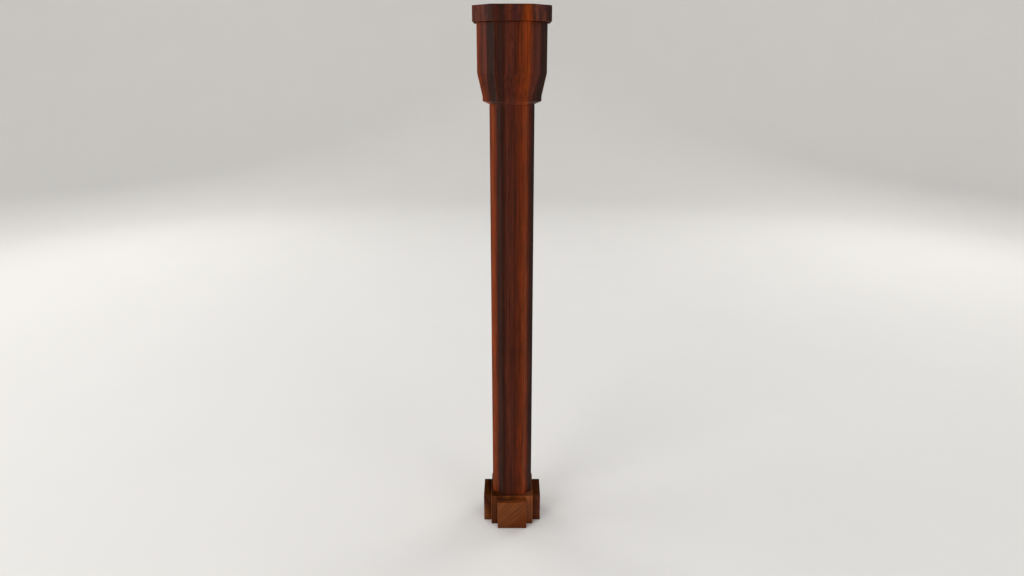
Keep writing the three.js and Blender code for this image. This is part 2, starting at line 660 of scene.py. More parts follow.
@dataclass(frozen=True)
class EndGrain:
    """Cut ends: growth rings about a heart that lies off to one side, fine pores and drying checks.

    The heart's place is in metres, a ring's width in millimetres. `lean` lightens the end sideways.
    `raised` is how far rings and bands lift the relief, `sunk` how far pores and checks cut into it.
    """

    name: str
    heart: tuple[float, float]
    ring: float = 9.0
    late: Tone = Tone.TAR
    early: Tone = Tone.BARK
    lean: float = 0.0
    sheen: float = 0.001
    lobes: float = 0.03
    ring_share: float = 0.35
    tone_edges: tuple[float, float] = (0.25, 0.75)
    ray_edge: tuple[float, float] = (0.66, 0.74)
    split_edge: tuple[float, float] = (0.5, 0.62)
    pore_edge: tuple[float, float] = (0.62, 0.7)
    raised: tuple[float, float] = (0.2, 0.3)
    sunk: tuple[float, float] = (0.4, 1.2)
    check_gain: float = 0.3
    rough_bands: float = 0.12
    surface: Surface = Surface(rough=0.6, relief=0.4 * MM, specular=0.02)
    surface_marks: SurfaceMarks = SurfaceMarks(rub_and_light_strength=0.25)

    def material(self) -> Material:
        """Makes the material.

        Returns:
            The material.
        """
        shader = Shader(self.name)
        flat = shader.vector("MULTIPLY", a=shader.place(), b=Vector((1.0, 1.0, 0.0)))
        spoke = shader.vector("SUBTRACT", a=flat, b=Vector((*self.heart, 0.0)))
        radius = shader.length(spoke) + (shader.noise(LOBES, where=flat) - 0.5) * self.lobes
        rings = shader.math("SINE", radius * (math.tau / (self.ring * MM))) * 0.5 + 0.5
        bands = shader.line_noise(RINGS, radius)
        angle = shader.math("ARCTAN2", shader.coordinate(spoke, "Y"), shader.coordinate(spoke, "X"))
        checks = shader.line_noise(RAYS, angle).band(*self.ray_edge)
        checks = checks * shader.noise(SPLITS, where=flat).band(*self.split_edge)
        pores = shader.noise(END_PORES).band(*self.pore_edge)
        tones = zip(self.tone_edges, (self.late, self.early))
        stops = [(at, tone.linear(sheen=self.sheen)) for at, tone in tones]
        sideways = shader.reach(flat, (1.0, 0.0, 0.0))
        light = rings * self.ring_share + bands * (1.0 - self.ring_share) + sideways * self.lean
        colour = shader.mix(checks, shader.ramp(light, stops), Tone.PITCH.linear(self.check_gain))
        colour = self.surface_marks.dress(shader, colour, pores)
        height = 0.5 + rings * self.raised[0] + bands * self.raised[1]
        height = height - pores * self.sunk[0] - checks * self.sunk[1]
        return shader.finish(colour, self.surface.rough + bands * self.rough_bands, height, self.surface)


@dataclass(frozen=True)
class PaleFloor:
    """The studio's plain pale floor."""

    name: str = "pale_floor"
    colour: tuple[float, float, float] = (0.8, 0.78, 0.75)
    mottle: float = 0.03
    rough_mottle: float = 0.05
    surface: Surface = Surface(rough=0.75, relief=0.1 * MM, specular=0.15)

    def material(self) -> Material:
        """Makes the material.

        Returns:
            The material.
        """
        shader = Shader(self.name)
        mottle = shader.noise(MOTTLE)
        colour = shader.bright(self.colour, 1.0 - self.mottle / 2 + mottle * self.mottle)
        rough = self.surface.rough + mottle * self.rough_mottle
        return shader.finish(colour, rough, mottle, self.surface)


def cut_square(half: float, flat: float, z: float) -> Corners:
    """Corners of a square with its corners cut off, anticlockwise from the front flat's left end.

    Args:
        half: half its width, in metres.
        flat: half the width of a flat.
        z: its height.

    Returns:
        Eight corners.
    """
    front = [(-flat, -half), (flat, -half)]
    turned = []
    for _ in range(4):
        turned += front
        front = [(-y, x) for x, y in front]
    return [Vector((x, y, z)) for x, y in turned]


def rectangle(low: Vector, high: Vector, inset: float, z: float) -> Corners:
    """Corners of a box's plan drawn in by an inset, anticlockwise from the front left."""
    x0, y0, x1, y1 = low.x + inset, low.y + inset, high.x - inset, high.y - inset
    return [Vector((x, y, z)) for x, y in ((x0, y0), (x1, y0), (x1, y1), (x0, y1))]


def drawn_in(corners: Corners, inset: float) -> Corners:
    """Draws in a convex plan.

    Args:
        corners: its corners, anticlockwise.
        inset: how far every side moves inwards.

    Returns:
        The corners of the smaller plan.
    """
    made = []
    for i, corner in enumerate(corners):
        before = (corner - corners[i - 1]).normalized()
        after = (corners[(i + 1) % len(corners)] - corner).normalized()
        inward = UP.cross(before) + UP.cross(after)
        made.append(corner + inward * (inset / (1.0 + before.dot(after))))
    return made


def placed(name: str, data: bpy.types.ID) -> Piece:
    """Adds an object to the scene.

    Args:
        name: its name.
        data: its mesh, light or camera.

    Returns:
        The object.
    """
    made = bpy.data.objects.new(name, data)
    bpy.context.scene.collection.objects.link(made)
    return made


@dataclass(frozen=True)
class Level:
    """One height of a solid: its corners; how much an edge there is lightened, by rubbing and by painted
    light at shaded joints; and how much it is darkened: painted shade in joints and creases, and on the
    plinth darker towards the foot.
    """

    corners: Corners
    arris: float = 0.0
    grime: float = 0.0

    def towards(self, other: Level, share: float) -> Level:
        """A level between this one and another."""
        marks = (a + (b - a) * share for a, b in ((self.arris, other.arris), (self.grime, other.grime)))
        return Level([a.lerp(b, share) for a, b in zip(self.corners, other.corners)], *marks)

    def distance(self, other: Level) -> float:
        """How far the corners move from this level to another."""
        return max((a - b).length for a, b in zip(self.corners, other.corners))


@dataclass
class Shell:
    """A mesh in the making: its points, how much each is lightened (rubbing and painted light) and darkened
    (painted shade, and darker towards the plinth's foot), and its faces.

    `rings` are the sizes of the rings that close an end, as shares of its rim.
    """

    points: Corners = field(default_factory=list)
    arris: list[float] = field(default_factory=list)
    grime: list[float] = field(default_factory=list)
    faces: list[tuple[int, ...]] = field(default_factory=list)
    rings: tuple[float, ...] = (0.86, 0.66, 0.44, 0.22)

    def add(self, point: Vector, arris: float = 0.0, grime: float = 0.0) -> int:
        """Adds a point.

        Args:
            point: its place.
            arris: how much it is lightened, by rubbing and by painted light.
            grime: how much it is darkened, by painted shade and towards the plinth's foot.

        Returns:
            Its number.
        """
        self.points.append(point)
        self.arris.append(arris)
        self.grime.append(grime)
        return len(self.points) - 1

    def cap(self, rim: Sequence[int], downward: bool) -> None:
        """Closes one end with rings that shrink to a centre point.

        Args:
            rim: numbers of the end's points, in order.
            downward: whether the end looks down.
        """
        edge = [self.points[i] for i in rim]
        centre = sum(edge, Vector()) / len(edge)
        faces = []
        for share in self.rings:
            inner = [self.add(centre.lerp(point, share)) for point in edge]
            faces += [(rim[i - 1], rim[i], inner[i], inner[i - 1]) for i in self._following(rim)]
            rim = inner
        middle = self.add(centre)
        faces += [(rim[i - 1], rim[i], middle) for i in self._following(rim)]
        self.faces += [face[::-1] for face in faces] if downward else faces

    @staticmethod
    def _following(rim: Sequence[int]) -> list[int]:
        """For each place in a ring, the place after it."""
        return [*range(1, len(rim)), 0]

    def mesh(self, name: str, across: list[float]) -> bpy.types.Mesh:
        """Makes the mesh, with the numbers that the finishes read on it.

        Args:
            name: its name.
            across: how far across its side each corner of each upright face lies.

        Returns:
            The mesh.
        """
        made = bpy.data.meshes.new(name)
        made.from_pydata(self.points, [], self.faces)
        across = across + [0.0] * (len(made.loops) - len(across))
        stored = {"across": across, "arris": self.arris, "grime": self.grime}
        for mark, values in stored.items():
            domain = "CORNER" if mark == "across" else "POINT"
            made.attributes.new(mark, "FLOAT", domain).data.foreach_set("value", values)
        return made


@dataclass(frozen=True)
class Hand:
    """How unevenly a hand works: an edge's radius wavers and has knocks, and a face is planed hollow.

    `cells` are to the metre, and a `step` sets one edge's noise apart from the next's.
    """

    waver: float = 0.3
    waver_cells: float = 9.0
    waver_step: float = 3.7
    knock: float = 3.2
    knock_from: float = 0.42
    knock_cells: float = 31.0
    knock_step: float = 5.3
    hollow: float = 0.25 * MM
    hollow_cells: tuple[float, float] = (9.0, 3.5)

    def easing(self, seed: float, corner: int, z: float) -> float:
        """How much rounder than usual an upright edge is.

        Args:
            seed: what sets one solid apart from another.
            corner: the edge's number.
            z: the height at which it is read.

        Returns:
            A factor on its radius.
        """
        slow = noise.noise(Vector((seed + corner * self.waver_step, 0.0, z * self.waver_cells)))
        quick = noise.noise(Vector((seed - corner * self.knock_step, 2.0, z * self.knock_cells)))
        return 1.0 + self.waver * slow + self.knock * max(0.0, quick - self.knock_from)

    def hollowed(self, seed: float, point: Vector, centre: Vector) -> Vector:
        """Draws a point in slightly, as a hand plane leaves a surface.

        Args:
            seed: what sets one solid apart from another.
            point: its place.
            centre: the middle of its level.

        Returns:
            The new place.
        """
        inward = Vector((centre.x - point.x, centre.y - point.y, 0.0))
        if inward.length < 1.0 * MM:
            return point
        aside, up = self.hollow_cells
        spot = Vector((point.x * aside + seed, point.y * aside, point.z * up))
        depth = self.hollow * (0.5 + 0.5 * noise.noise(spot))
        return point + inward.normalized() * depth


@dataclass
class Solid:
    """A closed solid through a stack of levels, with eased edges and what its finish reads on the mesh.

    `most_ease` is the most of a stretch between two levels that a rounding takes. Next to a rounding lies
    one more row, `row_support` easings off, and one more column: `support` off on a side longer than
    `short`, and otherwise `short_support` of the side. `edge_rub` is how rubbed a rounding's ends are.
    """

    name: str
    levels: list[Level]
    ease: float = 2.6 * MM
    row: float = 9.0 * MM
    columns: int = 8
    half_arc: int = 3
    ease_steps: int = 3
    most_ease: float = 0.45
    least_gap: float = 1.5
    row_support: float = 0.6
    support: float = 1.6 * MM
    short: float = 8.0 * MM
    short_support: float = 0.2
    edge_rub: float = 0.2
    seed: float = 0.0
    hand: Hand = Hand()

    def across(self, side: int, along: float, length: float, z: float) -> float:
        """How far across its side, or its quarter turn, a point lies, from 0 to 1."""
        return along / length

    def eased_levels(self) -> list[Level]:
        """The levels with each edge between two of them rounded.

        Returns:
            The levels, from the lowest.
        """
        made = [self.levels[0]]
        for before, here, after in zip(self.levels, self.levels[1:], self.levels[2:]):
            start = here.towards(before, min(self.most_ease, self.ease / here.distance(before)))
            end = here.towards(after, min(self.most_ease, self.ease / here.distance(after)))
            for step in range(self.ease_steps + 1):
                t = step / self.ease_steps
                rounded = start.towards(here, t).towards(here.towards(end, t), t)
                bulge = 4.0 * t * (1.0 - t)
                made.append(Level(rounded.corners, here.arris * bulge, here.grime))
        made.append(self.levels[-1])
        return made

    def filled_levels(self) -> list[Level]:
        """The eased levels with rows added in between, and close to each edge.

        Returns:
            The levels, from the lowest.
        """
        made: list[Level] = []
        eased = self.eased_levels()
        for low, high in zip(eased, eased[1:]):
            gap = low.distance(high)
            made.append(low)
            if gap <= self.least_gap * self.ease:
                continue
            support = self.ease * self.row_support / gap
            count = max(1, round(gap / self.row))
            shares = [support, *(i / count for i in range(1, count)), 1.0 - support]
            made += [low.towards(high, share) for share in sorted(shares)]
        made.append(eased[-1])
        return made

    def outline(self, corners: Corners) -> list[tuple[Vector, int, float]]:
        """A level's rounded outline.

        Args:
            corners: the level's corners.

        Returns:
            For each point its place, the side that starts there, and how far it is up the rounding.
        """
        made = []
        count = len(corners)
        arcs = [self._arc(corners, corner) for corner in range(count)]
        for side in range(count):
            second = arcs[side][self.half_arc:]
            first = arcs[(side + 1) % count][: self.half_arc + 1]
            start, end = second[-1], first[0]
            for i, point in enumerate(second[:-1]):
                made.append((point, side, 1.0 - (1.0 - self.edge_rub) * i / self.half_arc))
            gap = (end - start).length
            support = self.support / gap if gap > self.short else self.short_support
            shares = [0.0, support, *(i / self.columns for i in range(1, self.columns)), 1.0 - support]
            for share in sorted(shares):
                made.append((start.lerp(end, share), side, self.edge_rub if share == 0.0 else 0.0))
            for i, point in enumerate(first[:-1]):
                made.append((point, side, self.edge_rub + (1.0 - self.edge_rub) * i / self.half_arc))
        return made

    def _arc(self, corners: Corners, corner: int) -> Corners:
        """The rounding at one corner of a level.

        Args:
            corners: the level's corners.
            corner: which of them.

        Returns:
            Points from the corner's first side to its second.
        """
        here = corners[corner]
        before = (here - corners[corner - 1]).normalized()
        after = (corners[(corner + 1) % len(corners)] - here).normalized()
        turn = before.angle(after)
        radius = self.ease * self.hand.easing(self.seed, corner, here.z)
        out = UP.cross(before) * -radius
        centre = here - before * (radius * math.tan(turn / 2)) - out
        steps = 2 * self.half_arc
        angles = [turn * i / steps for i in range(steps + 1)]
        return [centre + out * math.cos(angle) + before * (radius * math.sin(angle)) for angle in angles]

    def build(self, finishes: Sequence[Material]) -> Piece:
        """Makes the solid.

        Args:
            finishes: material of the upright faces, of the level ones, and of a bevel that looks down.

        Returns:
            The new object.
        """
        rows = self.filled_levels()
        outlines = [self.outline(level.corners) for level in rows]
        width = len(outlines[0])
        shell = Shell()
        for level, outline in zip(rows, outlines):
            centre = sum(level.corners, Vector()) / len(level.corners)
            for point, _, rounding in outline:
                place = self.hand.hollowed(self.seed, point, centre)
                shell.add(place, max(rounding, level.arris), level.grime)
        across: list[float] = []
        for r in range(len(rows) - 1):
            for i in range(width):
                j = (i + 1) % width
                spots = ((r, i), (r, j), (r + 1, j), (r + 1, i))
                shell.faces.append(tuple(row * width + k for row, k in spots))
                side = outlines[r][i][1]
                across += [self._across(rows[row], side, outlines[row][k][0]) for row, k in spots]
        shell.cap(range(width), downward=True)
        shell.cap(range((len(rows) - 1) * width, len(rows) * width), downward=False)
        mesh = shell.mesh(self.name, across)
        for finish in finishes:
            mesh.materials.append(finish)
        for polygon in mesh.polygons:
            polygon.use_smooth = True
            polygon.material_index = self.finish_for(polygon.normal.z, len(finishes))
        mesh.validate()
        return placed(self.name, mesh)

    @staticmethod
    def finish_for(upward: float, count: int) -> int:
        """Which finish a face takes.

        Args:
            upward: how far it looks up, from -1 to 1.
            count: how many finishes there are.

        Returns:
            The finish's number.
        """
        if abs(upward) > LEVEL_FACE:
            return 1
        return 2 if count > 2 and upward < -BEVEL_FACE else 0

    def _across(self, level: Level, side: int, point: Vector) -> float:
        """How far across a point lies.

        Args:
            level: its level.
            side: its side.
            point: its place.

        Returns:
            The share, from 0 to 1.
        """
        start = level.corners[side]
        run = level.corners[(side + 1) % len(level.corners)] - start
        return self.across(side, (point - start).dot(run.normalized()), run.length, point.z)


# Places across a diagonal face, above the flare and at its foot: streaks are pulled from one to the other.
DRAG_BY_LEFT_FLAT = ((0.0, 0.1, 0.61, 1.0), (0.0, 0.12, 0.38, 1.0))
DRAG_BY_RIGHT_FLAT = ((0.0, 0.2, 0.62, 1.0), (0.0, 0.4, 0.44, 1.0))


@dataclass
class ChamferedSolid(Solid):
    """A solid on a square plan with cut corners, whose grain is laid out over each quarter turn.

    Widths are in millimetres. `flare` holds the heights, in metres, between which the diagonal faces cut
    through the layers. `lead` shifts the streaks of the front right diagonal face, and `stray` those of
    the faces away from the front.
    """

    flat_width: float = 105.0
    diagonal_width: float = 67.0
    flare: tuple[float, float] = (0.0, 0.0)
    lead: float = 0.0
    stray: float = 0.045
    stray_waves: tuple[float, float, float] = (2.6, 5.1, 1.3)

    def across(self, side: int, along: float, length: float, z: float) -> float:
        """Flats run from 0 to their share of the girth about their middle, diagonal faces on to 1.

        Args:
            side: the side, counted from the front flat.
            along: how far along it a point lies, in metres.
            length: how long it is.
            z: the point's height.

        Returns:
            How far across the quarter turn the point lies.
        """
        share = self.flat_width / (self.flat_width + self.diagonal_width)
        if side % 2 == 0:
            middle = (along - length / 2) / (self.flat_width * MM)
            return share * (0.5 + middle) + self.shift(side, along / length)
        cut = min(1.0, max(0.0, along / length))
        return share + (1.0 - share) * self.dragged(side, cut, z) + self.shift(side, cut)

    def shift(self, side: int, share: float) -> float:
        """How far streaks are moved so that no two sides match. The front flat's stay.

        Args:
            side: the side.
            share: how far across it a point lies.

        Returns:
            The shift, as a share of the quarter turn.
        """
        quarter, diagonal = divmod(side, 2)
        inside = math.sin(math.pi * min(1.0, max(0.0, share))) ** 2
        if side == 1:
            return inside * self.lead
        if quarter == 0 or (quarter == 3 and diagonal):
            return 0.0
        by_quarter, by_share, by_diagonal = self.stray_waves
        wave = math.sin(by_quarter * quarter + by_share * share + by_diagonal * diagonal)
        return inside * self.stray * wave

    def dragged(self, side: int, share: float, z: float) -> float:
        """The share across a diagonal face, pulled sideways where the flare cuts through the layers.

        Args:
            side: the diagonal face.
            share: how far across it a point lies.
            z: the point's height.

        Returns:
            The share that the point's streak has above the flare.
        """
        low, high = self.flare
        if high <= low:
            return share
        cut = min(1.0, max(0.0, (high - z) / (high - low)))
        above, below = DRAG_BY_RIGHT_FLAT if side in (3, 7) else DRAG_BY_LEFT_FLAT
        places = [a + (b - a) * cut for a, b in zip(above, below)]
        for i in range(len(places) - 1):
            if share <= places[i + 1]:
                part = (share - places[i]) / (places[i + 1] - places[i])
                return above[i] + (above[i + 1] - above[i]) * part
        return 1.0


@dataclass
class Shaft:
    """The eight-sided shaft: its flats, diagonal faces and the painted shade at its foot, in millimetres.
    """

    node: str = "shaft"
    slot: str = "shaft_wood"
    flat: float = 105.0
    diagonal: float = 67.0
    darkened: float = 14.0

    def timber(self) -> StreakedTimber:
        """The shaft's finish, streaked from near-black to orange across each side.

        Returns:
            The finish.
        """
        flat = (
            (0, Tone.SLATE), (8, Tone.INK), (15, Tone.UMBER), (22, Tone.OXBLOOD), (28, Tone.MAHOGANY),
            (36, Tone.MAHOGANY), (45, Tone.CHESTNUT), (55, Tone.CHESTNUT), (63, Tone.WALNUT),
            (70, Tone.CHESTNUT), (77, Tone.RUSSET), (90, Tone.RUSSET), (98, Tone.COPPER),
        )
        diagonal = (
            (4, Tone.AMBER), (13, Tone.FLAME), (19, Tone.FLAME), (26, Tone.AMBER), (33, Tone.COPPER),
            (39, Tone.RUSSET), (45, Tone.WALNUT), (51, Tone.UMBER), (59, Tone.SOOT), (67, Tone.SLATE),
        )
        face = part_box(self.node)[1].x
        knots = (
            Knot((face, 0.022, 1.32), across=(0.0, 1.0, 0.0)),
            Knot((-0.018, face, 0.86), across=(1.0, 0.0, 0.0), width=4.0, height=20.0),
            Knot((-face, -0.012, 1.71), across=(0.0, 1.0, 0.0), width=4.5, height=24.0),
        )
        return StreakedTimber("rosewood_shaft", flat, diagonal, self.flat, self.diagonal, knots=knots)

    def build(self) -> Piece:
        """Makes and dresses the shaft.

        Returns:
            The piece.
        """
        low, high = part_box(self.node)
        half, flat = high.x, self.flat / 2 * MM
        # Painted shade darkens the foot where it meets the block; painted light lightens the top under the
        # capital.
        levels = [
            Level(cut_square(half, flat, low.z), grime=0.6),
            Level(cut_square(half, flat, low.z + self.darkened * MM), grime=0.08),
            Level(cut_square(half, flat, low.z + 5 * self.darkened * MM)),
            Level(cut_square(half, flat, high.z - 2 * self.darkened * MM)),
            Level(cut_square(half, flat, high.z), arris=0.45),
        ]
        ends = EndGrain("rosewood_shaft_ends", heart=(0.02, 0.05))
        solid = ChamferedSolid(
            "shaft_timber", levels, flat_width=self.flat, diagonal_width=self.diagonal, lead=0.05, seed=1.0
        )
        return dress(solid.build([self.timber().material(), ends.material()]), self.node)


@dataclass
class Capital:
    """The flared capital, from its bevelled underside up. Widths, and heights above it, in millimetres."""

    node: str = "capital"
    slot: str = "capital_wood"
    foot_flat: float = 128.0
    flat: float = 150.0
    diagonal: float = 108.0
    shaft_flat: float = 105.0
    band_bottom: float = 14.0
    band_top: float = 34.0
    flare_top: float = 132.0
    foot_width: float = 259.0
    # Depths below the top, in millimetres, over which painted light grows against the shade under the
    # abacus.
    painted_light_rim: tuple[float, float] = (16.0, 6.0)

    def timber(self) -> StreakedTimber:
        """The capital's finish: the shaft's streaks, spread wider, and a pale fleck at the front.

        Returns:
            The finish.
        """
        flat = (
            (1, Tone.UMBER), (9, Tone.OXBLOOD), (17, Tone.UMBER), (21, Tone.SLATE), (32, Tone.INK),
            (37, Tone.UMBER), (45, Tone.OXBLOOD), (50, Tone.MAHOGANY), (62, Tone.CHESTNUT),
            (72, Tone.CHESTNUT), (80, Tone.MAHOGANY), (88, Tone.CHESTNUT), (97, Tone.RUSSET),
            (112, Tone.COPPER), (120, Tone.COPPER), (131, Tone.AMBER), (139, Tone.EMBER), (147, Tone.EMBER),
        )
        diagonal = (
            (3, Tone.AMBER), (12, Tone.COPPER), (20, Tone.RUSSET), (28, Tone.CHESTNUT), (38, Tone.MAHOGANY),
            (53, Tone.ROSE), (60, Tone.MAHOGANY), (67, Tone.UMBER), (75, Tone.INK), (88, Tone.SOOT),
            (96, Tone.SOOT), (107, Tone.SLATE),
        )
        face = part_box(self.node)[1].x
        knots = (
            Knot((0.002, -face, 2.39), across=(1.0, 0.0, 0.0), width=5.0, height=18.0, dark=-0.3),
            Knot((face, 0.03, 2.42), across=(0.0, 1.0, 0.0), width=6.0, height=26.0),
        )
        return StreakedTimber("rosewood_capital", flat, diagonal, self.flat, self.diagonal, knots=knots)

    def build(self) -> Piece:
        """Makes and dresses the capital.

        Returns:
            The piece.
        """
        low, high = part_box(self.node)
        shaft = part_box("shaft")[1].x
        foot = self.foot_width / 2 * MM
        half, top = high.x, (high.z - low.z) / MM

        def level(width: float, flat: float, above: float, **marks: float) -> Level:
            """A level at a height above the underside."""
            return Level(cut_square(width, flat / 2 * MM, low.z + above * MM), **marks)

        # Painted light lightens the bevel and the top rim, in shade under the flare and the abacus; painted
        # shade darkens the flare's foot.
        levels = [
            level(shaft, self.shaft_flat, 0.0, arris=0.6),
            level(foot, self.foot_flat, self.band_bottom, arris=0.5),
            level(foot, self.foot_flat, self.band_top, arris=0.1, grime=0.2),
            level(half, self.flat, self.flare_top, arris=0.3, grime=0.05),
            level(half, self.flat, top - self.painted_light_rim[0]),
            level(half, self.flat, top - self.painted_light_rim[1], arris=0.6),
            level(half, self.flat, top, arris=2.6),
        ]
        solid = ChamferedSolid(
            "capital_timber", levels, flat_width=self.flat, diagonal_width=self.diagonal, seed=2.0,
            flare=(low.z + self.band_top * MM, low.z + self.flare_top * MM), row=6 * MM, columns=20,
        )
        timber = self.timber()
        ends = EndGrain("rosewood_capital_ends", heart=(-0.03, 0.06))
        # A lighter copy of the streaks for the bevel that looks down: painted light in its shade.
        painted_light_bevel = replace(timber, name="rosewood_capital_painted_light_bevel", painted_light=1.6, sheen=0.0)
        made = solid.build([timber.material(), ends.material(), painted_light_bevel.material()])
        return dress(made, self.node)


@dataclass
class Abacus:
    """The slab on top. Widths, and the height above its underside where curls start, in millimetres."""

    node: str = "abacus"
    slot: str = "abacus_wood"
    flat: float = 172.0
    diagonal: float = 117.0
    rim: float = 40.0
    curls_from: float = 10.0

    def timber(self) -> StreakedTimber:
        """The slab's finish: the same streaks, curled and blotched by a knotty figure.

        Returns:
            The finish.
        """
        flat = (
            (0, Tone.SLATE), (11, Tone.SLATE), (16, Tone.OXBLOOD), (28, Tone.OXBLOOD), (34, Tone.INK),
            (50, Tone.INK), (58, Tone.OXBLOOD), (70, Tone.MAHOGANY), (77, Tone.TERRACOTTA),
            (85, Tone.PLUM), (112, Tone.PLUM), (121, Tone.MAHOGANY), (134, Tone.COPPER),
            (146, Tone.EMBER), (162, Tone.EMBER),
        )
        diagonal = (
            (0, Tone.COPPER), (9, Tone.OXBLOOD), (17, Tone.CHESTNUT), (25, Tone.ROSE), (46, Tone.ROSE),
            (52, Tone.CHESTNUT), (60, Tone.CHESTNUT), (68, Tone.ROSE), (80, Tone.ROSE), (90, Tone.PLUM),
            (100, Tone.INK), (116, Tone.INK),
        )
        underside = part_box(self.node)[0].z
        return StreakedTimber(
            "rosewood_abacus", flat, diagonal, self.flat, self.diagonal, blotches=0.6,
            blotch=Noise(48.0, squash=0.7), curl=66.0, curl_from=underside + self.curls_from * MM,
        )

    def build(self) -> Piece:
        """Makes and dresses the slab.

        Returns:
            The piece.
        """
        low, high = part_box(self.node)
        half, flat, rim = high.x, self.flat / 2 * MM, self.rim * MM
        edge = cut_square(half, flat, low.z)
        top = cut_square(half, flat, high.z)
        # Painted light lightens the lower edge, against the shade it casts on the capital; the upper edge
        # is rubbed.
        levels = [
            Level(drawn_in(edge, rim)),
            Level(edge, arris=1.8),
            Level(top, arris=0.8),
            Level(drawn_in(top, rim)),
        ]
        ends = EndGrain("rosewood_abacus_ends", heart=(0.05, 0.08), late=Tone.BARK, early=Tone.TERRACOTTA)
        solid = ChamferedSolid(
            "abacus_slab", levels, flat_width=self.flat, diagonal_width=self.diagonal, lead=0.03, seed=3.0,
            row=6 * MM, columns=12,
        )
        return dress(solid.build([self.timber().material(), ends.material()]), self.node)


class Facing(Enum):
    """The four cheeks: their node's last word, and the direction that each faces."""

    FRONT = (0.0, -1.0)
    RIGHT = (1.0, 0.0)
    BACK = (0.0, 1.0)
    LEFT = (-1.0, 0.0)


@dataclass(frozen=True)
class Cheek:
    """One cheek: how its growth layers tilt outwards, and its tones from the lowest layer up.

    `top_tones` run from its inner edge outwards, at a `slant` to the right.
    """

    facing: Facing
    tilt: float
    tones: tuple[Tone, ...]
    top_tones: tuple[Tone, ...]
    slant: float = 0.12


CHEEKS = (
    Cheek(
        Facing.FRONT,
        tilt=0.1,
        tones=(
            Tone.TERRACOTTA, Tone.TERRACOTTA, Tone.TERRACOTTA, Tone.TAN, Tone.HONEY, Tone.TAN, Tone.HONEY,
            Tone.TAN,
        ),
        top_tones=(Tone.BARK, Tone.BARK, Tone.COCOA, Tone.COCOA, Tone.TERRACOTTA),
        slant=0.3,
    ),
    Cheek(
        Facing.RIGHT,
        tilt=0.15,
        tones=(Tone.CHESTNUT, Tone.RUSSET, Tone.CHESTNUT, Tone.HAZEL, Tone.CHESTNUT, Tone.HAZEL),
        top_tones=(Tone.BARK, Tone.TAR, Tone.BARK, Tone.TAR, Tone.TAR),
    ),
    Cheek(
        Facing.BACK,
        tilt=-0.4,
        tones=(Tone.WALNUT, Tone.RUSSET, Tone.TERRACOTTA, Tone.BARK, Tone.COCOA, Tone.TERRACOTTA),
        top_tones=(Tone.TAR, Tone.BARK, Tone.BARK, Tone.COCOA, Tone.BARK),
    ),
    Cheek(
        Facing.LEFT,
        tilt=-1.5,
        tones=(
            Tone.HONEY, Tone.HONEY, Tone.HONEY, Tone.TAN, Tone.BARK, Tone.HAZEL, Tone.HAZEL, Tone.HAZEL,
            Tone.BARK, Tone.HAZEL, Tone.TERRACOTTA,
        ),
        top_tones=(Tone.PITCH, Tone.PITCH, Tone.TAR, Tone.TAR, Tone.TAR),
    ),
)


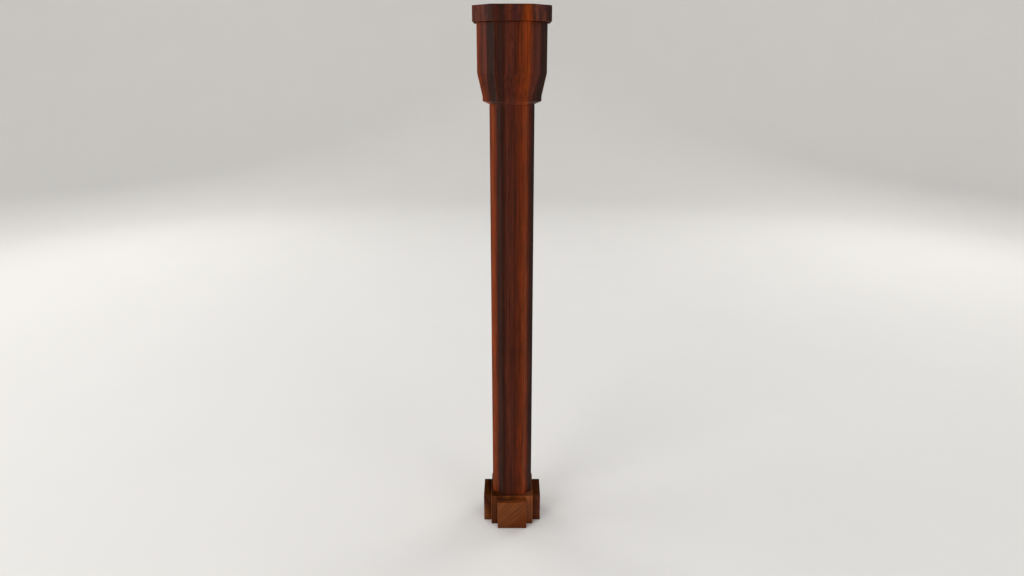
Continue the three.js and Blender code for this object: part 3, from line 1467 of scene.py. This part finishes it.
@dataclass
class Plinth:
    """The block and its four cheeks. Sizes are in millimetres.

    The three darkening values are those of the underside, of the foot and of a quarter of the darkened
    height:
    each piece is darker towards the bottom.
    """

    block_node: str = "plinth_block"
    block_slot: str = "block_wood"
    cheek_slot: str = "cheek_wood"
    rim: float = 6.0
    row: float = 5.0
    cheek_reach: float = 115.0
    top_reach: float = 28.0
    top_skew: float = 0.12
    grime: tuple[float, float, float] = (0.8, 0.6, 0.35)

    def build(self) -> list[Piece]:
        """Makes and dresses the block and the cheeks."""
        return [self.block(), *(self.cheek(cheek) for cheek in CHEEKS)]

    def levels(self, low: Vector, high: Vector, darkened: float) -> list[Level]:
        """Levels of an upright block that stands on the floor.

        Args:
            low: its lowest corner.
            high: its highest corner.
            darkened: the share of its height over which it is darker towards the bottom.

        Returns:
            The levels, from the lowest.
        """
        rim = self.rim * MM
        dark_height = darkened * (high.z - low.z)
        under, foot, quarter = self.grime
        return [
            Level(rectangle(low, high, 3 * rim, low.z), grime=under),
            Level(rectangle(low, high, 0.0, low.z), arris=0.2, grime=foot),
            Level(rectangle(low, high, 0.0, low.z + 0.25 * dark_height), grime=quarter),
            Level(rectangle(low, high, 0.0, low.z + dark_height)),
            Level(rectangle(low, high, 0.0, high.z), arris=1.0),
            Level(rectangle(low, high, 2 * rim, high.z)),
        ]

    def block(self) -> Piece:
        """Makes and dresses the square block, which has upright grain.

        Returns:
            The piece.
        """
        low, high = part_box(self.block_node)
        width = (high.x - low.x) / MM
        flat = (
            (0, Tone.HAZEL), (22, Tone.HAZEL), (34, Tone.BARK), (60, Tone.HAZEL), (85, Tone.TAN),
            (110, Tone.HAZEL), (140, Tone.TERRACOTTA), (162, Tone.TAN), (178, Tone.TAN),
            (188, Tone.STRAW), (208, Tone.STRAW), (216, Tone.HONEY),
        )
        # Lightened as painted light, against the shade between the cheeks.
        timber = StreakedTimber(
            "rosewood_block", flat, (), flat_width=width, diagonal_width=0.0, painted_light=1.35, wander=6.0
        )
        ends = EndGrain("rosewood_block_ends", heart=(0.09, 0.02), early=Tone.TAN, lean=4.0)
        levels = self.levels(low, high, darkened=0.8)
        solid = Solid(self.block_node + "_timber", levels, seed=4.0, row=self.row * MM, columns=16)
        made = solid.build([timber.material(), ends.material()])
        return dress(made, self.block_node)

    def cheek(self, cheek: Cheek) -> Piece:
        """Makes and dresses one cheek, whose growth layers lie across it at a slant.

        Args:
            cheek: which one, and its figure.

        Returns:
            The piece.
        """
        word = cheek.facing.name.lower()
        node = f"plinth_cheek_{word}"
        low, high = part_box(node)
        centre = (low + high) / 2
        out = Vector((*cheek.facing.value, 0.0))
        right = UP.cross(out)
        # Both are lightened as painted light, against the shade between the parts; the tops, which the
        # block shades, most.
        timber = LayeredTimber(
            f"rosewood_cheek_{word}", layers=(UP - right).normalized() + out * cheek.tilt, grain=UP + right,
            centre=centre, reach=self.cheek_reach * MM, tones=cheek.tones, painted_light=1.25,
        )
        tops = LayeredTimber(
            f"rosewood_cheek_{word}_top", layers=out + right * cheek.slant,
            grain=right - out * self.top_skew, centre=centre, reach=self.top_reach * MM,
            tones=cheek.top_tones, painted_light=1.4, sheen=0.0, surface=Surface(rough=0.5, specular=0.0),
        )
        levels = self.levels(low, high, darkened=0.2)
        solid = Solid(f"{node}_board", levels, seed=5.0 + cheek.tilt, row=self.row * MM, columns=12)
        return dress(solid.build([timber.material(), tops.material()]), node)


def dress(made: Piece, node: str) -> Piece:
    """Ties a new piece to the frame.

    Args:
        made: the piece.
        node: the solid that it stands for.

    Returns:
        The piece.
    """
    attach(made, BODY)
    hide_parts(node)
    return made


@dataclass(frozen=True)
class Lamp:
    """A large soft light: its place in metres and its power in watts."""

    name: str
    place: tuple[float, float, float]
    power: float


LAMPS = (
    Lamp("key", (-5.5, -6.5, 5.0), power=280.0),
    Lamp("side", (-9.0, 0.0, 4.5), power=170.0),
    Lamp("fill", (6.0, -6.5, 4.5), power=125.0),
    Lamp("back_left", (-6.0, 6.5, 5.0), power=190.0),
    Lamp("back_right", (6.5, 6.0, 5.0), power=220.0),
)


@dataclass
class Studio:
    """A plain pale floor that curves up all round, and soft lights. Sizes are in metres."""

    inner_radii: tuple[float, float] = (0.4, 2.0)
    floor_radius: float = 9.0
    wall_height: float = 9.0
    sweep: float = 4.0
    sweep_steps: int = 24
    spokes: int = 96
    lamp_size: float = 5.0
    aim: float = 0.6
    glow: Colour = (0.95, 0.97, 1.0, 1.0)
    glow_strength: float = 0.54

    def profile(self) -> list[tuple[float, float]]:
        """The floor's section.

        Returns:
            Radius and height of its points, from near its centre up the wall.
        """
        made = [(radius, 0.0) for radius in (*self.inner_radii, self.floor_radius)]
        for i in range(1, self.sweep_steps + 1):
            angle = math.pi / 2 * i / self.sweep_steps
            radius = self.floor_radius + self.sweep * math.sin(angle)
            made.append((radius, self.sweep * (1.0 - math.cos(angle))))
        made.append((self.floor_radius + self.sweep, self.wall_height))
        return made

    def floor(self) -> None:
        """Makes the floor."""
        profile = self.profile()
        turns = [math.tau * i / self.spokes for i in range(self.spokes)]
        points = [(r * math.cos(turn), r * math.sin(turn), z) for r, z in profile for turn in turns]
        faces = [tuple(range(self.spokes))]
        for row in range(len(profile) - 1):
            start = row * self.spokes
            for i in range(self.spokes):
                j = (i + 1) % self.spokes
                faces.append((start + i, start + self.spokes + i, start + self.spokes + j, start + j))
        mesh = bpy.data.meshes.new("studio_floor")
        mesh.from_pydata(points, [], faces)
        mesh.materials.append(PaleFloor().material())
        mesh.shade_smooth()
        made = placed("studio_floor", mesh)

    def hang(self, lamp: Lamp) -> None:
        """Makes a light that is aimed at the pillar's upper half and kept out of the pictures.

        Args:
            lamp: the light.
        """
        low, high = CAD_BOX
        target = low.lerp(high, 0.5)
        target.z = high.z * self.aim
        light = bpy.data.lights.new(lamp.name, "AREA")
        light.shape = "SQUARE"
        light.size = self.lamp_size
        light.energy = lamp.power
        made = placed(lamp.name, light)
        made.location = lamp.place
        made.rotation_euler = (target - Vector(lamp.place)).to_track_quat("-Z", "Y").to_euler()
        made.visible_camera = False

    def surround(self) -> None:
        """Sets the surroundings' even glow."""
        world = bpy.data.worlds.new("studio_glow")
        bpy.context.scene.world = world
        world.use_nodes = True
        background = world.node_tree.nodes["Background"]
        background.inputs["Color"].default_value = self.glow
        background.inputs["Strength"].default_value = self.glow_strength

    def build(self) -> None:
        """Makes the floor and the lights, and shows colours as they are."""
        self.floor()
        self.surround()
        for lamp in LAMPS:
            self.hang(lamp)
        view = bpy.context.scene.view_settings
        view.view_transform = "Standard"
        view.look = "None"


@dataclass
class Viewpoint:
    """The camera: head-on, a little under the pillar's top, looking down at its middle.

    Angles are in degrees, the distance from the pillar's axis in metres, the sensor in millimetres and
    the frame in pixels.
    """

    pitch: float = 17.94
    distance: float = 3.223
    upright_view: float = 45.0
    sensor: float = 36.0
    frame_width: int = 1024
    frame_height: int = 576
    farthest: float = 100.0

    def build(self) -> None:
        """Makes the camera and gives it to the scene."""
        low, high = CAD_BOX
        middle = (low.z + high.z) / 2
        pitch = math.radians(self.pitch)
        focal = self.frame_height / 2 / math.tan(math.radians(self.upright_view) / 2)
        lens = bpy.data.cameras.new("camera")
        lens.sensor_width = self.sensor
        lens.lens = self.sensor * focal / self.frame_width
        lens.clip_end = self.farthest
        made = placed("camera", lens)
        made.location = (0.0, -self.distance, middle + self.distance * math.tan(pitch))
        made.rotation_euler = (math.pi / 2 - pitch, 0.0, 0.0)
        bpy.context.scene.camera = made


def main() -> None:
    """Builds the camera, the studio and every piece in order, and logs each piece's face count."""
    logging.basicConfig(level=logging.INFO, format="%(name)s: %(message)s")
    Viewpoint().build()
    Studio().build()
    pieces = [*Plinth().build(), Shaft().build(), Capital().build(), Abacus().build()]
    for piece in pieces:
        LOG.info("%s: %d faces", piece.name, len(piece.data.polygons))


if __name__ == "__main__":
    main()
